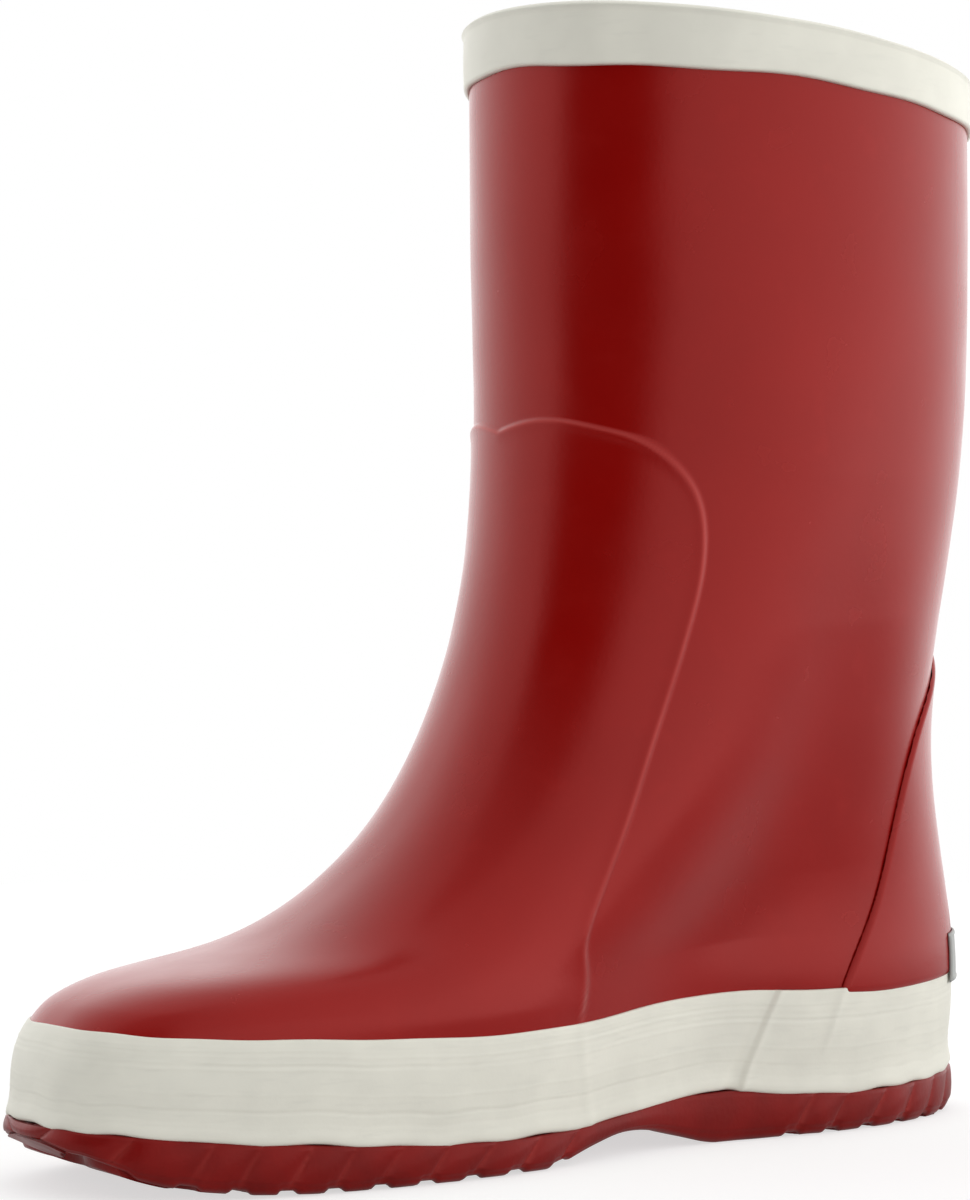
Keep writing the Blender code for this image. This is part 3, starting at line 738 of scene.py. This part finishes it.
def groove_phase(x, y):
    """Distance to the nearest groove's middle along the boot, and 1 where there is tread."""
    forward = HEEL - y + WAVE * np.cos(2 * math.pi * x / WAVE_LENGTH)
    near, tread = np.full(np.shape(y), 1.0), np.zeros(np.shape(y))
    for start, end in (FOREFOOT_TREAD, HEEL_TREAD):
        last = start + LUG_PITCH * math.floor((end - start - 1e-6) / LUG_PITCH)
        at = np.clip(np.round((forward - start) / LUG_PITCH), 0, round((last - start) / LUG_PITCH))
        near = np.minimum(near, np.abs(forward - start - at * LUG_PITCH))
        within = smooth(forward, start - 6 * MM, start - 3 * MM)
        within = within * (1 - smooth(forward, last + 3 * MM, last + 6 * MM))
        tread = np.maximum(tread, within)
    return near, tread


def pillow(near, half, start=0.0):
    """0 in a crease and 1 on the lump beside it, steep at the crease like a stuffed seam."""
    t = np.clip((near - start) / half, 0, 1)
    return np.sqrt(1 - (1 - t) ** 2)


def make_outsole():
    """The red moulded sole: wavy lugs, swollen at their ends, big lumps at the toe and a smooth
    waist."""
    count = 1200
    # angles for points evenly spaced along the outline, made the same on both sides of the toe
    even = np.arange(4 * count) * 2 * math.pi / (4 * count)
    outline = plan(even, -SOLE_FLANGE)
    steps = np.linalg.norm(np.diff(outline, axis=0, append=outline[:1]), axis=1)
    along = np.concatenate([[0], np.cumsum(steps)])
    length = along[-1]
    theta = np.interp(np.arange(count) / count * length, along, np.append(even, 2 * math.pi))
    theta = (theta - theta[-np.arange(count)] + 2 * math.pi * (np.arange(count) > 0)) / 2
    place = np.arange(count) / count * length
    place = np.where(place > length / 2, place - length, place)
    way = plan(theta, -SOLE_FLANGE - 1 * MM) - plan(theta, -SOLE_FLANGE)
    way /= np.linalg.norm(way, axis=1, keepdims=True)
    sway = ripples(np.column_stack([place, 0 * place, 0 * place]), 17 * MM, 41)
    forward = HEEL - sole_loops(theta, -SOLE_FLANGE, (1,))[0][:, 1]
    toe = smooth(forward, TOE_LUMPS_FROM, TOE_LUMPS_FULL)
    loops, painted_highlight = [], []

    def lumps(loop, up):
        """How far the side swells out, and the painted highlight along its creases, at a height from
        its foot (0) to its top (1)."""
        slant = SIDE_SLANT * up**1.4 + 0.7 * MM * sway
        near, tread = groove_phase(loop[:, 0], loop[:, 1] - slant)
        size = 0.8 + 0.25 * sway
        side = tread * (1.15 * size * pillow(near, LUG_PITCH / 2) - 0.75) * MM
        toe_near = np.min([np.abs(np.abs(place) - at - slant) for at in TOE_CREASES], axis=0)
        toe_side = (1.5 * size * pillow(toe_near, 8 * MM) - 0.95) * MM
        out = side * (1 - toe) + toe_side * toe
        # painted highlight: pale lines along the creases between the lumps, where light catches their
        # edges
        crease_highlight = tread * np.exp(-((near / (0.7 * MM)) ** 2)) * (1 - toe)
        crease_highlight = crease_highlight + toe * np.exp(-((toe_near / (1.0 * MM)) ** 2))
        shape = math.sin(math.pi * min(up, 1)) ** 0.6
        return out * shape, crease_highlight * (0.35 + 0.25 * sway) * shape

    def add(share, out, up, side):
        """One loop: how far out, and its height over the walking face (0) or the top (1)."""
        loop = sole_loops(theta, -SOLE_FLANGE, (share,))[0]
        near, tread = groove_phase(loop[:, 0], loop[:, 1])
        face, top = sole_bottom(loop[:, 1]), floor_height(loop[:, 1]) - 0.15 * MM
        lug = smooth(near, GROOVE / 2 - 0.5 * MM, GROOVE / 2 + 0.9 * MM)
        depth = TREAD_DEPTH * (1 - 0.75 * smooth(np.array(share), 0.90, 1.0))
        cut = depth * tread * (1 - lug)
        height = face + cut * (1 - up) ** 2 + (top - face) * up
        beyond = HEEL - loop[:, 1] - TOE_ROUNDING_FROM
        tip = np.clip(beyond / (SOLE_FRONT - TOE_ROUNDING_FROM), 0, 1)
        height = height + TOE_ROUNDING * tip**2 * (1 - up)
        crease_highlight = np.zeros(count)
        if side:
            swell, crease_highlight = lumps(loop, up)
            loop = loop + way * (out + swell)[:, None]
        loops.append(np.column_stack([loop, height]))
        painted_highlight.append(np.clip(crease_highlight, 0, 1))

    for share in np.linspace(0, 0.935, 48):
        add(share, 0.0, 0.0, False)
    for turn in np.linspace(0.1, 1, 7) * math.pi / 2:
        add(1.0, (math.sin(turn) - 1.0) * 2.0 * MM, 0.2 * (1 - math.cos(turn)), True)
    for up in np.linspace(0.24, 0.93, 16):
        add(1.0, 0.45 * MM * math.sin(math.pi * up), up, True)
    for turn in np.linspace(0.1, 1, 5) * math.pi / 2:
        add(1.0, (math.cos(turn) - 1.0) * 0.6 * MM, 0.93 + 0.07 * math.sin(turn), True)
    for share in (0.9, 0.5, 0):
        add(share, 0.0, 1.0, False)
    grid = np.array(loops)
    grid[..., 2] += 0.07 * MM * ripples(grid, 9 * MM, 40)
    piece(
        "outsole", grid, SOLE, "boot", ["outsole"], closed_rows=False,
        painted_highlight=np.array(painted_highlight),
    )


def finish_hidden_pieces():
    """The sheets and fillers inside keep their CAD shapes, and get real surfaces."""
    canvas = cloth("rubberised_canvas", (0.42, 0.36, 0.26), 0.5 * MM, 0.08 * MM)
    board = plain("fibreboard", (0.36, 0.25, 0.15), 0.85, 0.6 * MM)
    sponge = plain("sponge_rubber", (0.07, 0.065, 0.06), 0.95, 1.2 * MM)
    for nodes, material in (
        (("vamp_reinforcement", "toe_puff", "heel_stiffener"), canvas),
        (("insole_board",), board),
        (("midsole_sponge", "heel_wedge"), sponge),
    ):
        for node in nodes:
            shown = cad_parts[node]
            shown.data.materials.clear()
            shown.data.materials.append(material)


# --- Camera, floor and light --------------------------------------------------------------------

GAP_AZIMUTH = 28  # of the dark gap between the panels, from the toe towards the inner side
FLOOR_RADIUS, FLOOR_LEVEL = 0.7, -0.02 * MM


def set_camera():
    """Level, at the boot's inner front side, and close to it."""
    data = bpy.data.cameras.new("camera")
    data.sensor_width = 36
    data.lens = 97.9
    data.shift_x, data.shift_y = -0.030, 0.027
    data.clip_start = 0.01
    made = bpy.data.objects.new("camera", data)
    bpy.context.scene.collection.objects.link(made)
    azimuth, distance, height = math.radians(56), 657.7 * MM, 102.5 * MM
    middle = HEEL - 106.5 * MM
    made.location = (distance * math.sin(azimuth), middle - distance * math.cos(azimuth), height)
    made.rotation_euler = (math.pi / 2, 0, azimuth)
    bpy.context.scene.camera = made


class Sky:
    """The world's light, worked out by nodes from the direction alone."""

    def __init__(self, tree):
        self.tree = tree
        self.way = tree.nodes.new("ShaderNodeTexCoord").outputs["Generated"]

    def vector(self, operation, first, second=None):
        made = self.tree.nodes.new("ShaderNodeVectorMath")
        made.operation = operation
        self.tree.links.new(first, made.inputs[0])
        if second is not None:
            made.inputs[1].default_value = second
        return made.outputs["Value" if operation == "DOT_PRODUCT" else "Vector"]

    def spread(self, value, low, high, to_low, to_high):
        made = self.tree.nodes.new("ShaderNodeMapRange")
        made.interpolation_type = "SMOOTHSTEP"
        for socket, number in zip(made.inputs[1:5], (low, high, to_low, to_high)):
            socket.default_value = number
        self.tree.links.new(value, made.inputs[0])
        return made.outputs["Result"]

    def join(self, operation, *values):
        total = values[0]
        for value in values[1:]:
            made = self.tree.nodes.new("ShaderNodeMath")
            made.operation = operation
            self.tree.links.new(total, made.inputs[0])
            self.tree.links.new(value, made.inputs[1])
            total = made.outputs[0]
        return total


def set_studio_light():
    """White panels all round, brighter further from a dark gap between them, and a dim ceiling."""
    world = bpy.data.worlds.new("studio")
    bpy.context.scene.world = world
    world.use_nodes = True
    tree = world.node_tree
    sky = Sky(tree)
    gap = math.radians(GAP_AZIMUTH)
    level_way = sky.vector("NORMALIZE", sky.vector("MULTIPLY", sky.way, (1, 1, 0)))
    near_gap = sky.vector("DOT_PRODUCT", level_way, (math.sin(gap), -math.cos(gap), 0))
    height = sky.vector("DOT_PRODUCT", sky.way, (0, 0, 1))
    panels = sky.spread(near_gap, 0.82, 0.955, 1.0, 0.0)
    brightness = sky.spread(near_gap, 1.1, -0.2, 1.0, 1.5)
    ceiling = sky.spread(height, 0.35, 0.92, 1.0, 0.3)
    lamp = sky.spread(height, 0.45, 0.85, 0.0, 0.5)
    light = tree.nodes["Background"]
    light.inputs["Color"].default_value = (1, 1, 1, 1)
    total = sky.join("ADD", sky.join("MULTIPLY", panels, brightness, ceiling), lamp)
    tree.links.new(total, light.inputs["Strength"])
    seen = tree.nodes.new("ShaderNodeBackground")
    seen.inputs["Color"].default_value = (1, 1, 1, 1)
    seen.inputs["Strength"].default_value = 1.0
    path = tree.nodes.new("ShaderNodeLightPath")
    mix = tree.nodes.new("ShaderNodeMixShader")
    tree.links.new(path.outputs["Is Camera Ray"], mix.inputs[0])
    tree.links.new(light.outputs[0], mix.inputs[1])
    tree.links.new(seen.outputs[0], mix.inputs[2])
    tree.links.new(mix.outputs[0], tree.nodes["World Output"].inputs["Surface"])


def set_floor():
    """A round white floor."""
    count = 96
    turns = [2 * math.pi * i / count for i in range(count)]
    rim = [(FLOOR_RADIUS * math.cos(t), FLOOR_RADIUS * math.sin(t), FLOOR_LEVEL) for t in turns]
    mesh = bpy.data.meshes.new("floor")
    mesh.from_pydata(rim, [], [tuple(range(count))])
    floor = bpy.data.objects.new("floor", mesh)
    bpy.context.scene.collection.objects.link(floor)
    white = Finish("floor_white", (0.45, 0.45, 0.45), 0.8)
    white.set(Emission_Color=(1, 1, 1, 1), Specular_IOR_Level=0.0)
    path = white.tree.nodes.new("ShaderNodeLightPath")
    seen = white.spread(path.outputs["Is Camera Ray"], 0.0, 1.0, 0.22, 0.62)
    white.tree.links.new(seen, white.shader.inputs["Emission Strength"])
    mesh.materials.append(white.material)


bpy.context.scene.view_settings.view_transform = "Standard"
set_camera()
set_studio_light()
set_floor()
make_upper()
make_counter()
make_label()
make_band()
make_binding()
make_lining()
make_tape()
make_footbed()
make_outsole()
finish_hidden_pieces()
